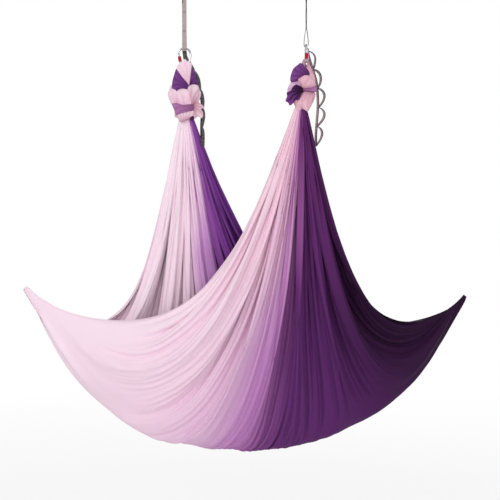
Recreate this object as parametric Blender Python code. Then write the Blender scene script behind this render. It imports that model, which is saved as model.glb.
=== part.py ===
"""Aerial yoga hammock: one wide cloth tied to two carabiners, hung by two daisy-chain straps.

Metres, +Z up. The origin is the top face of the near ceiling bracket. The far bracket is behind it, to
the left. The cloth's two points lie left and right of the brackets. Each set of hardware is modelled in
the frame of its own anchor: x across the carabiner, y through it, z up, from the top of its crown.
"""

import math

import bmesh
import bpy
import numpy as np
from mathutils import Matrix, Vector
from mathutils.geometry import tessellate_polygon

MM = 0.001

# Anchors, in the plan of the ceiling
FAR_ANCHOR = (-0.592, 0.360)
ANCHORS = {
    "near": {"at": (0.0, 0.0), "crown": -0.406, "turn": math.radians(90), "knot": 0.298},
    "far": {"at": FAR_ANCHOR, "crown": -0.369, "turn": 0.0, "knot": 0.359},
}
SWING_LINE = math.atan2(FAR_ANCHOR[1], FAR_ANCHOR[0])
GAP = 0.3 * MM

# Ceiling bracket
PLATE_LENGTH = 90 * MM
PLATE_WIDTH = 44 * MM
PLATE_THICK = 5 * MM
PLATE_CORNER = 8 * MM
SCREW_HOLE = 3.2 * MM
SCREW_PITCH = (66 * MM, 24 * MM)
BAR_RADIUS = 5 * MM
BAR_DROP = 38 * MM
BAR_HALF = 22 * MM
BAR_BEND = 9 * MM

# Webbing
WEB_WIDTH = 22 * MM
WEB_THICK = 2 * MM
TACK_LENGTH = 11 * MM
POCKET_PITCH = 96 * MM
TAUT_POCKET_GAP = 1.2 * MM
CROWN_POCKET_GAP = 9 * MM
CROWN_POCKET_TOP = 75 * MM
CROWN_POCKET_FLOOR = -13.4 * MM
STRAP_FOOT = -18.5 * MM
LOOP_FOOT = -0.125
LOOP_RADIUS = BAR_RADIUS + 2 * GAP
TAIL_POCKETS = 5
TAIL_POCKET_RISE = 26 * MM

# Carabiner
ROD = 5.25 * MM
CROWN_RADIUS = 31.5 * MM
CROWN_CENTRE = (0.0, -36.75 * MM)
BASKET_RADIUS = 19.25 * MM
BASKET_CENTRE = (0.0, -88.5 * MM)
HINGE = (-17.5 * MM, -92 * MM)
NOSE = (-28.2 * MM, -32 * MM)
NOSE_STRAIGHT = 7 * MM
HINGE_STRAIGHT = 7 * MM
TONGUE_HALF = 2 * MM
GATE_RADIUS = 5 * MM
COLLAR_RADIUS = 6.2 * MM
SLOT_HALF = 2.5 * MM
PIN_RADIUS = 1.5 * MM
LATCH_BELOW_NOSE = 4.5 * MM
SLEEVE_FROM = 20 * MM
SLEEVE_LENGTH = 27 * MM
SLEEVE_INNER = 5.6 * MM
SLEEVE_OUTER = 8.4 * MM
KNURLS = 16
SPRING_RADIUS = 1.8 * MM
SPRING_WIRE = 0.4 * MM
SPRING_TURNS = 5
SPRING_FROM = 19 * MM
SPRING_TO = 32.5 * MM
PLUNGER_RADIUS = 2.2 * MM

# Sling cloth
LEFT_TIP = (-1.372, 0.180, -1.567)
RIGHT_TIP = (0.803, 0.180, -1.611)
CLOTH_THICK = 2 * MM
BELLY_DROP = 0.818
BELLY_POWER = 2.35
FOLDS = 7
FOLD_AT_ENDS = 10 * MM
FOLD_AT_MIDDLE = 20 * MM
CELLS_ACROSS = 28
CELLS_DOWN = 10
NECK_HALF = 0.045

COLOURS = {
    "steel": ((0.62, 0.62, 0.64), 0.28, 1.0),
    "polished": ((0.80, 0.80, 0.82), 0.20, 1.0),
    "red": ((0.60, 0.02, 0.04), 0.35, 0.6),
    "webbing": ((0.045, 0.030, 0.036), 0.85, 0.0),
    "pale_cloth": ((0.85, 0.66, 0.77), 0.65, 0.0),
    "orchid_cloth": ((0.55, 0.30, 0.58), 0.65, 0.0),
    "zinc": ((0.55, 0.56, 0.58), 0.38, 1.0),
}


def clear_scene():
    for obj in list(bpy.data.objects):
        bpy.data.objects.remove(obj)


def material(name):
    found = bpy.data.materials.get(name)
    if found:
        return found
    colour, rough, metal = COLOURS[name]
    made = bpy.data.materials.new(name)
    made.use_nodes = True
    shader = made.node_tree.nodes["Principled BSDF"]
    shader.inputs["Base Color"].default_value = (*colour, 1.0)
    shader.inputs["Roughness"].default_value = rough
    shader.inputs["Metallic"].default_value = metal
    return made


def solid(name, points, faces, finish, smooth=True):
    """A mesh object from points and faces, its normals facing out."""
    mesh = bpy.data.meshes.new(name)
    mesh.from_pydata([tuple(map(float, p)) for p in points], [], [tuple(f) for f in faces])
    shape = bmesh.new()
    shape.from_mesh(mesh)
    bmesh.ops.recalc_face_normals(shape, faces=shape.faces)
    shape.to_mesh(mesh)
    shape.free()
    if smooth:
        mesh.shade_smooth()
        mesh.set_sharp_from_angle(angle=math.radians(40))
    mesh.materials.append(material(finish))
    obj = bpy.data.objects.new(name, mesh)
    bpy.context.collection.objects.link(obj)
    return obj


def baked(obj):
    """Replaces the object's mesh by its evaluated one and drops its modifiers."""
    bpy.context.view_layer.update()
    graph = bpy.context.evaluated_depsgraph_get()
    mesh = bpy.data.meshes.new_from_object(obj.evaluated_get(graph))
    obj.modifiers.clear()
    obj.data = mesh
    return obj


def combine(obj, others, operation):
    """Joins or cuts obj with each of the others, which are used up."""
    for other in others:
        modifier = obj.modifiers.new(operation.lower(), "BOOLEAN")
        modifier.operation = operation
        modifier.solver = "EXACT"
        modifier.object = other
        baked(obj)
        bpy.data.objects.remove(other)
    return obj


def loft(name, rings, finish, joined=False):
    """A skin over rings of equal point counts: capped, or with its last ring joined to its first."""
    count = len(rings[0])
    total = len(rings)
    faces = []
    for i in range(total if joined else total - 1):
        here, there = i * count, (i + 1) % total * count
        for j in range(count):
            k = (j + 1) % count
            faces.append((here + j, here + k, there + k, there + j))
    if not joined:
        faces.append(range(count))
        faces.append(range((total - 1) * count, total * count))
    return solid(name, [p for ring in rings for p in ring], faces, finish)


def turned(name, profile, finish, sides=16):
    """A turned piece about z, from (radius, height) pairs."""
    rings = [
        [(r * math.cos(a), r * math.sin(a), z) for a in np.linspace(0, math.tau, sides, endpoint=False)]
        for r, z in profile
    ]
    return loft(name, rings, finish)


def rod_along(name, radius, start, end, finish, sides=16):
    """A round bar along y, at start = (x, z), over the y range given by end."""
    x, z = start
    rings = [
        [(x + radius * math.cos(a), y, z + radius * math.sin(a))
         for a in np.linspace(0, math.tau, sides, endpoint=False)]
        for y in end
    ]
    return loft(name, rings, finish)


def box(name, low, high, finish="steel"):
    x, y, z = zip(low, high)
    ring = [(0, 0), (1, 0), (1, 1), (0, 1)]
    return loft(name, [[(x[i], y[j], z[k]) for i, j in ring] for k in (0, 1)], finish)


def tube(name, path, radius, finish, sides=12):
    """A round bar along a path, whose rings stand square to it."""
    path = [Vector(p) for p in path]
    rings = []
    across = Vector((0, 1, 0))
    for i, point in enumerate(path):
        along = (path[min(i + 1, len(path) - 1)] - path[max(i - 1, 0)]).normalized()
        across = (across - across.dot(along) * along).normalized()
        other = along.cross(across)
        rings.append([
            point + radius * (math.cos(a) * across + math.sin(a) * other)
            for a in np.linspace(0, math.tau, sides, endpoint=False)
        ])
    return loft(name, rings, finish)


def ribbon(name, path, widths, thick, finish):
    """A flat band along a path. widths gives the direction and half width of each station."""
    path = [Vector(p) for p in path]
    rings = []
    for i, point in enumerate(path):
        along = (path[min(i + 1, len(path) - 1)] - path[max(i - 1, 0)]).normalized()
        side = Vector(widths[i])
        face = along.cross(side).normalized() * thick / 2
        rings.append([point + side + face, point - side + face, point - side - face, point + side - face])
    return loft(name, rings, finish)


def extruded(name, outlines, half_depth, finish):
    """Outlines in the (y, z) plane, the first round the others, given a depth along x."""
    flat = [[Vector((y, z, 0)) for y, z in line] for line in outlines]
    triangles = tessellate_polygon(flat)
    points = [p for line in flat for p in line]
    total = len(points)
    solid_points = [(x, p.x, p.y) for x in (-half_depth, half_depth) for p in points]
    faces = [tuple(t) for t in triangles] + [tuple(i + total for i in t) for t in triangles]
    first = 0
    for line in outlines:
        for j in range(len(line)):
            a, b = first + j, first + (j + 1) % len(line)
            faces.append((a, b, b + total, a + total))
        first += len(line)
    return solid(name, solid_points, faces, finish)


def arc(centre, radius, start, end, count):
    """Points on a circle in the (x, z) plane, by angles in degrees."""
    return [
        (centre[0] + radius * math.cos(math.radians(a)), centre[1] + radius * math.sin(math.radians(a)))
        for a in np.linspace(start, end, count)
    ]


def blended_corner(start, start_way, end, end_way, count):
    """A curve from start to end that leaves along start_way and arrives along end_way."""
    ways = np.array([[start_way[0], end_way[0]], [start_way[1], end_way[1]]], float)
    reach = np.linalg.solve(ways, np.subtract(end, start))[0]
    corner = np.add(start, np.multiply(reach, start_way))
    steps = np.linspace(0, 1, count)[1:-1]
    return [tuple((1 - t) ** 2 * np.array(start) + 2 * t * (1 - t) * corner + t * t * np.array(end))
            for t in steps]


def smooth_path(points, count):
    """Evenly spaced points on a Catmull-Rom curve through the given ones."""
    p = np.array([2 * np.array(points[0]) - points[1], *points, 2 * np.array(points[-1]) - points[-2]])
    fine = []
    for i in range(1, len(p) - 2):
        for t in np.linspace(0, 1, 24, endpoint=False):
            fine.append(0.5 * (2 * p[i] + (p[i + 1] - p[i - 1]) * t
                               + (2 * p[i - 1] - 5 * p[i] + 4 * p[i + 1] - p[i + 2]) * t ** 2
                               + (3 * p[i] - p[i - 1] - 3 * p[i + 1] + p[i + 2]) * t ** 3))
    fine = np.array([*fine, p[-2]])
    run = np.concatenate([[0], np.cumsum(np.linalg.norm(np.diff(fine, axis=0), axis=1))])
    at = np.linspace(0, run[-1], count)
    return np.stack([np.interp(at, run, fine[:, k]) for k in range(3)], axis=1), run[-1]


def gate_way():
    """Unit vector from the hinge to the nose, in the carabiner's (x, z) plane."""
    way = np.subtract(NOSE, HINGE)
    return way / np.linalg.norm(way)


def gate_length():
    return float(np.linalg.norm(np.subtract(NOSE, HINGE)))


def anchor_empty(side):
    """The frame of one anchor: the carabiner's crown, turned about z."""
    place = ANCHORS[side]
    empty = bpy.data.objects.new(f"{side}_anchor", None)
    empty.location = (*place["at"], place["crown"])
    empty.rotation_euler = (0, 0, place["turn"])
    bpy.context.collection.objects.link(empty)
    return empty


def hinge_empty(side, anchor):
    """The frame of one gate: on the hinge pin, z along the gate."""
    empty = bpy.data.objects.new(f"{side}_gate_axis", None)
    empty.parent = anchor
    empty.location = (HINGE[0], 0, HINGE[1])
    empty.rotation_euler = (0, math.atan2(gate_way()[0], gate_way()[1]), 0)
    bpy.context.collection.objects.link(empty)
    return empty


def rounded_plate(name, finish):
    """The bracket's plate: a rectangle with round corners, its top at z = 0."""
    ring = []
    for cx, cy, start in ((1, 1, 0), (-1, 1, 90), (-1, -1, 180), (1, -1, 270)):
        for a in np.linspace(start, start + 90, 5):
            ring.append((
                cx * (PLATE_LENGTH / 2 - PLATE_CORNER) + PLATE_CORNER * math.cos(math.radians(a)),
                cy * (PLATE_WIDTH / 2 - PLATE_CORNER) + PLATE_CORNER * math.sin(math.radians(a)),
            ))
    return loft(name, [[(x, y, z) for x, y in ring] for z in (-PLATE_THICK, 0)], finish)


def ceiling_bracket(side):
    """A plate with four screw holes, and a bar bent into a square eye, welded under it."""
    plate = rounded_plate(f"{side}_ceiling_bracket", "zinc")
    holes = []
    for x in (-SCREW_PITCH[0] / 2, SCREW_PITCH[0] / 2):
        for y in (-SCREW_PITCH[1] / 2, SCREW_PITCH[1] / 2):
            hole = turned("hole", [(SCREW_HOLE, -2 * PLATE_THICK), (SCREW_HOLE, PLATE_THICK)], "zinc")
            hole.data.transform(Matrix.Translation((x, y, 0)))
            holes.append(hole)
    combine(plate, holes, "DIFFERENCE")
    leg = BAR_HALF
    low = -BAR_DROP
    path = [(-leg, -PLATE_THICK / 2), (-leg, low + BAR_BEND)]
    path += arc((-leg + BAR_BEND, low + BAR_BEND), BAR_BEND, 180, 270, 6)[1:]
    path += arc((leg - BAR_BEND, low + BAR_BEND), BAR_BEND, 270, 360, 6)
    path += [(leg, -PLATE_THICK / 2)]
    bar = tube("bar", [(x, 0, z) for x, z in path], BAR_RADIUS, "zinc")
    combine(plate, [bar], "UNION")
    plate.location = (*ANCHORS[side]["at"], 0)
    plate.rotation_euler = (0, 0, SWING_LINE)
    return plate


def pocket_half_gap(z):
    """Half the gap between the strap's two layers at the pocket that holds the carabiner."""
    centre = -ROD
    if z >= centre:
        share = (CROWN_POCKET_TOP - z) / (CROWN_POCKET_TOP - centre)
        return CROWN_POCKET_GAP * math.sin(share * math.pi / 2)
    depth = (z - centre) / (CROWN_POCKET_FLOOR - centre)
    return CROWN_POCKET_GAP * math.sqrt(max(0.0, 1 - depth ** 2))


def crown_pocket_heights():
    """Stations down the crown pocket, closer together round its floor."""
    straight = list(np.linspace(CROWN_POCKET_TOP, -ROD, 9))
    round_floor = [-ROD + (CROWN_POCKET_FLOOR + ROD) * math.sin(a) for a in np.linspace(0, math.pi / 2, 7)]
    return straight + round_floor[1:]


def strap_outlines(top):
    """The two-layer strap from its foot to top: its outside and the gap of each pocket."""
    heights = crown_pocket_heights()
    outside = [(pocket_half_gap(z) + WEB_THICK, z) for z in heights[:-1]]
    hole = [(0.0, CROWN_POCKET_TOP - 1 * MM)] + [(pocket_half_gap(z), z) for z in heights[1:]]
    holes = [hole + [(-y, z) for y, z in hole[-2:0:-1]]]
    upper = []
    z = CROWN_POCKET_TOP + TACK_LENGTH
    while z + POCKET_PITCH - TACK_LENGTH < top:
        z_end = z + POCKET_PITCH - TACK_LENGTH
        steps = np.linspace(0, 1, 7)
        skin = [(TAUT_POCKET_GAP * math.sin(math.pi * t), z_end + (z - z_end) * t) for t in steps]
        gap = [(0.0, z_end - 1 * MM), *skin[1:-1], (0.0, z + 1 * MM)]
        holes.append(gap + [(-y, h) for y, h in gap[-2:0:-1]])
        upper = [(WEB_THICK + y, h) for y, h in skin] + upper
        z = z_end + TACK_LENGTH
    right = [(WEB_THICK, top)] + upper + outside + [(WEB_THICK, CROWN_POCKET_FLOOR - WEB_THICK)]
    right.append((WEB_THICK, STRAP_FOOT))
    left = [(-y, h) for y, h in reversed(right)]
    return [right + left, *holes]


def loop_outlines(foot, bar_height):
    """The strap's sewn end loop round the bracket's bar, in the frame of the bar."""
    top = [(LOOP_RADIUS * math.sin(math.radians(a)), bar_height + LOOP_RADIUS * math.cos(math.radians(a)))
           for a in np.linspace(-100, 100, 13)]
    inner = top + [(0.0, foot + 24 * MM)]
    scale = (LOOP_RADIUS + WEB_THICK) / LOOP_RADIUS
    outer = [(y * scale, bar_height + (z - bar_height) * scale) for y, z in top]
    outer += [(2 * WEB_THICK, foot + 24 * MM), (2 * WEB_THICK, foot), (-2 * WEB_THICK, foot),
              (-2 * WEB_THICK, foot + 24 * MM)]
    return [outer, inner]


def strap(side, anchor):
    """The taut part of one strap: pockets, a twisted neck, and the end loop on the bar."""
    crown = ANCHORS[side]["crown"]
    twist = SWING_LINE - ANCHORS[side]["turn"]
    twist = (twist + math.pi / 2) % math.pi - math.pi / 2
    foot = LOOP_FOOT - crown
    pockets_top = CROWN_POCKET_TOP + POCKET_PITCH + TACK_LENGTH + 6 * MM
    lower = extruded(f"{side}_strap", strap_outlines(pockets_top), WEB_WIDTH / 2, "webbing")
    loop = extruded("loop", loop_outlines(foot, -BAR_DROP - crown), WEB_WIDTH / 2, "webbing")
    loop.data.transform(Matrix.Rotation(twist, 4, "Z"))
    steps = np.linspace(0, 1, 9)
    path = [(0, 0, pockets_top - 4 * MM + t * (foot - pockets_top + 8 * MM)) for t in steps]
    half = WEB_WIDTH / 2 + 0.2 * MM
    turns = [twist * (3 * t * t - 2 * t ** 3) for t in steps]
    widths = [(half * math.cos(a), half * math.sin(a), 0) for a in turns]
    neck = ribbon("neck", path, widths, 2 * WEB_THICK + 0.6 * MM, "webbing")
    combine(lower, [neck, loop], "UNION")
    lower.parent = anchor
    return lower


TAIL_ROUTES = {
    # Hand-laid from the foot of the taut strap, in the frame of the photograph: x right, y away, z up
    "near": [(0, 0, -19.9), (5.5, 0, -20.7), (10, 0, -23.6), (11.4, 0, -32), (13, 0, -52), (20, 0, -84),
             (29, 0, -113), (46, 0, -168), (52, 0, -208), (55, 1, -250), (56, 4, -290), (53, 12, -340),
             (50, 20, -390), (48, 24, -430), (50, 24, -476)],
    "far": [(0, 0, -19.9), (0, 6, -20.5), (0, 11, -23.2), (1, 12.8, -32), (6, 16, -54), (22, 26, -84),
            (40, 28, -108), (56, 28, -146), (70, 26, -190), (80, 23, -235), (87, 21, -285),
            (87, 16, -340), (85, 0, -395), (87, -16, -450), (94, -20, -500)],
}
TAIL_TURNS = {
    # How the webbing's width turns from the foot to the end, in degrees from the photograph's x axis
    "near": (90, 90),
    "far": (0, 55),
}


def strap_tail(side):
    """The loose end of the daisy chain: a spine with open pockets sewn along one face."""
    route = [np.array(p) * MM for p in TAIL_ROUTES[side]]
    count = 40
    path, _ = smooth_path(route, count)
    share = np.clip(np.linspace(0, 1, count) / 0.35, 0, 1)
    start, end = (math.radians(a) for a in TAIL_TURNS[side])
    angle = start + (end - start) * (3 * share ** 2 - 2 * share ** 3)
    side_way = np.stack([np.cos(angle), np.sin(angle), 0 * angle], axis=1)
    along = np.gradient(path, axis=0)
    along /= np.linalg.norm(along, axis=1)[:, None]
    along[0] = (0, 0, -1)
    side_way -= (side_way * along).sum(1)[:, None] * along
    side_way /= np.linalg.norm(side_way, axis=1)[:, None]
    face = np.cross(along, side_way)
    face *= np.sign(face @ (1.0, 0.5, 0.0))[:, None]
    half = WEB_WIDTH / 2
    spine = ribbon(f"{side}_strap_tail", path, side_way * half, WEB_THICK, "webbing")
    per = (count - 4) // TAIL_POCKETS
    loops = []
    for k in range(TAIL_POCKETS):
        first = 2 + k * per
        run = np.arange(first, first + per + 1)
        swell = np.sin(np.pi * np.linspace(0, 1, per + 1)) ** 0.8
        lift = 0.4 * WEB_THICK + (TAIL_POCKET_RISE + WEB_THICK) * swell
        loops.append(ribbon("pocket", path[run] + face[run] * lift[:, None],
                            side_way[run] * (half - 0.3 * MM), WEB_THICK, "webbing"))
    combine(spine, loops, "UNION")
    spine.location = (*ANCHORS[side]["at"], ANCHORS[side]["crown"])
    return spine


def body_path():
    """The carabiner's bar in its (x, z) plane, from the nose over the crown to the hinge."""
    way = gate_way()
    lean = math.degrees(math.asin((CROWN_RADIUS - BASKET_RADIUS) / (CROWN_CENTRE[1] - BASKET_CENTRE[1])))
    nose_end = np.add(NOSE, NOSE_STRAIGHT * way)
    crown_start = arc(CROWN_CENTRE, CROWN_RADIUS, 140, 140, 1)[0]
    crown_way = (math.sin(math.radians(140)), -math.cos(math.radians(140)))
    basket_end = arc(BASKET_CENTRE, BASKET_RADIUS, -125, -125, 1)[0]
    basket_way = (math.sin(math.radians(-125)), -math.cos(math.radians(-125)))
    hinge_end = np.subtract(HINGE, HINGE_STRAIGHT * way)
    return [
        NOSE, tuple(nose_end),
        *blended_corner(nose_end, way, crown_start, crown_way, 5),
        *arc(CROWN_CENTRE, CROWN_RADIUS, 140, -lean, 13),
        *arc(BASKET_CENTRE, BASKET_RADIUS, -lean, -125, 9),
        *blended_corner(basket_end, basket_way, hinge_end, way, 5),
        tuple(hinge_end),
    ]


def carabiner_body(side, anchor, radius=ROD, name=None):
    """The bent bar with a tongue at each end: a hooked one at the nose, a bored one at the hinge."""
    path = [(x, 0, z) for x, z in body_path()]
    body = tube(name or f"{side}_carabiner_body", path, radius, "polished")
    nose = nose_tongue()
    hinge = hinge_tongue()
    for piece in (nose, hinge):
        piece.data.transform(gate_frame())
    combine(body, [nose, hinge], "UNION")
    body.parent = anchor
    return body


def nose_tongue():
    """The hook that the gate's latch pin sits in, in the frame of the gate."""
    top = gate_length()
    pin = top - LATCH_BELOW_NOSE
    tongue = box("nose", (-4.2 * MM, -TONGUE_HALF, top - 9 * MM), (3.2 * MM, TONGUE_HALF, top + 3 * MM))
    notch = box("notch", (0, -3 * MM, pin - 2.1 * MM), (6 * MM, 3 * MM, pin + 2.1 * MM))
    round_end = rod_along("round", 2.1 * MM, (0, pin), (-3 * MM, 3 * MM), "steel", 12)
    return combine(tongue, [notch, round_end], "DIFFERENCE")


def hinge_tongue():
    """The bored tongue between the gate's tines, in the frame of the gate."""
    tongue = box("hinge", (-4.4 * MM, -TONGUE_HALF, -HINGE_STRAIGHT - 3 * MM), (4.4 * MM, TONGUE_HALF, 0))
    round_end = rod_along("round", 4.4 * MM, (0, 0), (-TONGUE_HALF, TONGUE_HALF), "steel", 20)
    bore = rod_along("bore", PIN_RADIUS + GAP, (0, 0), (-3 * MM, 3 * MM), "steel", 16)
    combine(tongue, [round_end], "UNION")
    return combine(tongue, [bore], "DIFFERENCE")


def gate_frame():
    """The matrix that takes the gate's frame to the carabiner's."""
    lean = math.atan2(gate_way()[0], gate_way()[1])
    return Matrix.Translation((HINGE[0], 0, HINGE[1])) @ Matrix.Rotation(lean, 4, "Y")


def gate(side, axis):
    """The turned gate: forked at both ends, bored for its spring, with a collar under the sleeve."""
    top = gate_length() - 0.6 * MM
    collar_top = SLEEVE_FROM - GAP
    profile = [(4.2 * MM, -4 * MM), (GATE_RADIUS, -3.4 * MM), (GATE_RADIUS, 8 * MM),
               (COLLAR_RADIUS, 9 * MM), (COLLAR_RADIUS, collar_top), (GATE_RADIUS, collar_top),
               (GATE_RADIUS, top - 0.6 * MM), (4.4 * MM, top)]
    piece = turned(f"{side}_gate", profile, "polished")
    pin = gate_length() - LATCH_BELOW_NOSE
    low_slot = box("slot", (-9 * MM, -SLOT_HALF, -9 * MM), (9 * MM, SLOT_HALF, 6.5 * MM))
    top_slot = box("slot", (-9 * MM, -SLOT_HALF, top - 10.5 * MM), (9 * MM, SLOT_HALF, top + 3 * MM))
    bore = turned("bore", [(2.6 * MM, 4 * MM), (2.6 * MM, 34 * MM)], "steel", 12)
    hinge_bore = rod_along("bore", PIN_RADIUS + GAP, (0, 0), (-9 * MM, 9 * MM), "steel", 12)
    latch_bore = rod_along("bore", PIN_RADIUS + GAP, (0, pin), (-9 * MM, 9 * MM), "steel", 12)
    combine(piece, [low_slot, top_slot, bore, hinge_bore, latch_bore], "DIFFERENCE")
    piece.parent = axis
    return piece


def rivet(name, height, axis):
    """A pin across the gate with low heads outside its tines."""
    head, reach = 2.3 * MM, 5.3 * MM
    profile = [(head - 0.6 * MM, -reach - 0.8 * MM), (head, -reach - 0.4 * MM), (head, -reach),
               (PIN_RADIUS, -reach), (PIN_RADIUS, reach), (head, reach), (head, reach + 0.4 * MM),
               (head - 0.6 * MM, reach + 0.8 * MM)]
    rings = [
        [(r * math.cos(a), y, height + r * math.sin(a)) for a in np.linspace(0, math.tau, 12, endpoint=False)]
        for r, y in profile
    ]
    piece = loft(name, rings, "steel")
    piece.parent = axis
    return piece


def latch_pin(side, axis):
    """The pin in the gate's upper fork, flush with its tines so that the sleeve passes."""
    height = gate_length() - LATCH_BELOW_NOSE
    piece = rod_along(f"{side}_latch_pin", PIN_RADIUS, (0, height), (-4.7 * MM, 4.7 * MM), "steel", 12)
    piece.parent = axis
    return piece


def plunger(side, axis):
    """The headed pin that the spring presses on the body's tongue."""
    tip = 4.8 * MM
    profile = [(1.2 * MM, tip), (1.7 * MM, tip + 0.5 * MM), (1.7 * MM, 15 * MM),
               (PLUNGER_RADIUS, 15 * MM), (PLUNGER_RADIUS, SPRING_FROM - SPRING_WIRE - GAP)]
    piece = turned(f"{side}_gate_plunger", profile, "steel", 12)
    piece.parent = axis
    return piece


def spring(side, axis):
    """The coil spring in the gate's bore."""
    steps = SPRING_TURNS * 8
    path = []
    for i in range(steps + 1):
        a = math.tau * i / 8
        rise = SPRING_FROM + (SPRING_TO - SPRING_FROM) * i / steps
        path.append((SPRING_RADIUS * math.cos(a), SPRING_RADIUS * math.sin(a), rise))
    piece = tube(f"{side}_gate_spring", path, SPRING_WIRE, "steel", sides=4)
    piece.parent = axis
    return piece


def screw_sleeve(side, axis):
    """The knurled screw sleeve, which runs up the gate to cover the nose."""
    low, high = SLEEVE_FROM, SLEEVE_FROM + SLEEVE_LENGTH
    sides = 2 * KNURLS
    plain, rib = SLEEVE_OUTER - 0.5 * MM, SLEEVE_OUTER
    levels = [(SLEEVE_INNER, low, False), (plain - 0.5 * MM, low, False), (plain, low + 0.5 * MM, False),
              (plain, low + 4 * MM, False), (rib, low + 5 * MM, True), (rib, high - 5 * MM, True),
              (plain, high - 4 * MM, False), (plain, high - 0.5 * MM, False),
              (plain - 0.5 * MM, high, False), (SLEEVE_INNER, high, False)]
    rings = []
    for radius, z, ribbed in levels:
        ring = []
        for j in range(sides):
            r = radius - 0.5 * MM if ribbed and j % 2 else radius
            ring.append((r * math.cos(math.tau * j / sides), r * math.sin(math.tau * j / sides), z))
        rings.append(ring)
    piece = loft(f"{side}_screw_sleeve", rings, "red", joined=True)
    piece.parent = axis
    return piece


KNOT_LOBES = {
    # Each lobe of the tied cloth: centre and half sizes in millimetres from the carabiner's crown,
    # x right, y away, z up, and its lean to the right in degrees
    "near": [
        ((0, 6, -81), (15, 10, 19), 0),
        ((10.5, 2, -108), (6, 24, 40), 0),
        ((-10.5, 2, -108), (6, 24, 40), 0),
        ((0, 0, -150), (20, 26, 26), 0),
        ((-32, -8, -130), (40, 30, 34), 28),
        ((4, -2, -180), (43, 42, 32), 8),
        ((-52, -12, -183), (22, 18, 12), -15),
        ((8, 0, -213), (42, 48, 20), 4),
        ((6, -4, -258), (41, 44, 50), 0),
        ((-57, -8, -232), (38, 32, 44), -18),
        ((-20, 0, -215), (40, 34, 40), 0),
        ((0, 0, -285), (44, 32, 32), 0),
    ],
    "far": [
        ((6, 0, -81), (10, 15, 19), 8),
        ((4, -11, -112), (30, 7, 42), 0),
        ((-6, 11, -112), (18, 6, 40), 0),
        ((4, -12, -150), (20, 15, 40), 0),
        ((-28, -10, -162), (36, 34, 50), -10),
        ((42, -4, -168), (20, 24, 27), 0),
        ((-62, -6, -256), (24, 30, 42), 6),
        ((-12, -14, -246), (42, 36, 48), 0),
        ((40, -6, -238), (26, 32, 44), -8),
        ((0, 6, -215), (40, 36, 60), 0),
        ((-12, 0, -308), (54, 46, 22), 8),
        ((-4, 0, -340), (40, 36, 40), 0),
        ((62, -8, -322), (24, 10, 40), -20),
        ((34, -4, -300), (26, 22, 26), 0),
    ],
}


def ellipsoid(shape, centre, half, lean):
    """Adds one lobe to a bmesh."""
    made = bmesh.ops.create_icosphere(shape, subdivisions=3, radius=1.0)
    tilt = math.radians(lean)
    for vert in made["verts"]:
        x, y, z = (a * b * MM for a, b in zip(vert.co, half))
        vert.co = (
            centre[0] * MM + x * math.cos(tilt) + z * math.sin(tilt),
            centre[1] * MM + y,
            centre[2] * MM - x * math.sin(tilt) + z * math.cos(tilt),
        )


def knot(side, guard):
    """The gathered cloth through the carabiner and the knot under it, grown together as one form."""
    name = f"{side}_knot"
    shape = bmesh.new()
    for centre, half, lean in KNOT_LOBES[side]:
        ellipsoid(shape, centre, half, lean)
    mesh = bpy.data.meshes.new(name)
    shape.to_mesh(mesh)
    shape.free()
    mesh.materials.append(material("pale_cloth" if side == "near" else "orchid_cloth"))
    piece = bpy.data.objects.new(name, mesh)
    bpy.context.collection.objects.link(piece)
    grown = piece.modifiers.new("grown", "REMESH")
    grown.mode = "VOXEL"
    grown.voxel_size = 4 * MM
    eased = piece.modifiers.new("eased", "SMOOTH")
    eased.factor = 0.5
    eased.iterations = 2
    fewer = piece.modifiers.new("fewer", "DECIMATE")
    fewer.ratio = 0.06
    baked(piece)
    floor = -ANCHORS[side]["knot"]
    under = box("under", (-0.3, -0.3, floor - 0.3), (0.3, 0.3, floor))
    combine(piece, [under, guard], "DIFFERENCE")
    piece.data.shade_smooth()
    piece.location = (*ANCHORS[side]["at"], ANCHORS[side]["crown"])
    return piece


def guard_for(side):
    """The carabiner's bar, a little thick, turned to its anchor: what the knot keeps clear of."""
    path = [(x, 0, z) for x, z in body_path()]
    bar = tube("guard", path, ROD + 0.8 * MM, "steel")
    bar.data.transform(Matrix.Rotation(ANCHORS[side]["turn"], 4, "Z"))
    return bar


def fold_line(u):
    """The lowest line across the cloth, from the left tip over the belly to the right tip."""
    share = (u + 1) / 2
    tip = np.array(LEFT_TIP) * (1 - share) + np.array(RIGHT_TIP) * share
    tip[2] -= BELLY_DROP * (1 - abs(u) ** BELLY_POWER)
    return tip


def handles(side, u):
    """The two points that pull a line of the cloth: down out of the knot, and into the fold line."""
    if side == "near":
        upper = (-0.006 + 0.12 * u - 0.09 * u * u, 0.004 - 0.012 * u, -1.25)
        lower = (-0.096 + 0.69 * u - 0.055 * u * u, -0.02 - 0.065 * u - 0.075 * u * u, -2.405 + 0.37 * u * u)
    else:
        upper = (-0.5 + 0.17 * u - 0.03 * u * u, 0.34 + 0.02 * u, -1.25)
        lower = (-0.385 + 0.6 * u + 0.01 * u * u, 0.355 - 0.045 * u + 0.06 * u * u, -2.54 + 0.43 * u * u)
    return np.array(upper), np.array(lower)


def cloth_point(side, u, t):
    """A point of the smooth cloth: u across, from left to right; t down, from the knot to the fold."""
    place = ANCHORS[side]
    neck = np.array([place["at"][0] + NECK_HALF * u, place["at"][1], place["crown"] - place["knot"] - GAP])
    foot = fold_line(u)
    upper, lower = handles(side, u)
    return (1 - t) ** 3 * neck + 3 * t * (1 - t) ** 2 * upper + 3 * t * t * (1 - t) * lower + t ** 3 * foot


def fold_height(u, t):
    """How far the gathered folds stand out of the smooth cloth."""
    swell = FOLD_AT_ENDS + (FOLD_AT_MIDDLE - FOLD_AT_ENDS) * math.sin(math.pi * t)
    edge = 1 - 0.5 * u ** 6
    return swell * edge * math.cos(math.pi * FOLDS * (u + 1))


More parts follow.
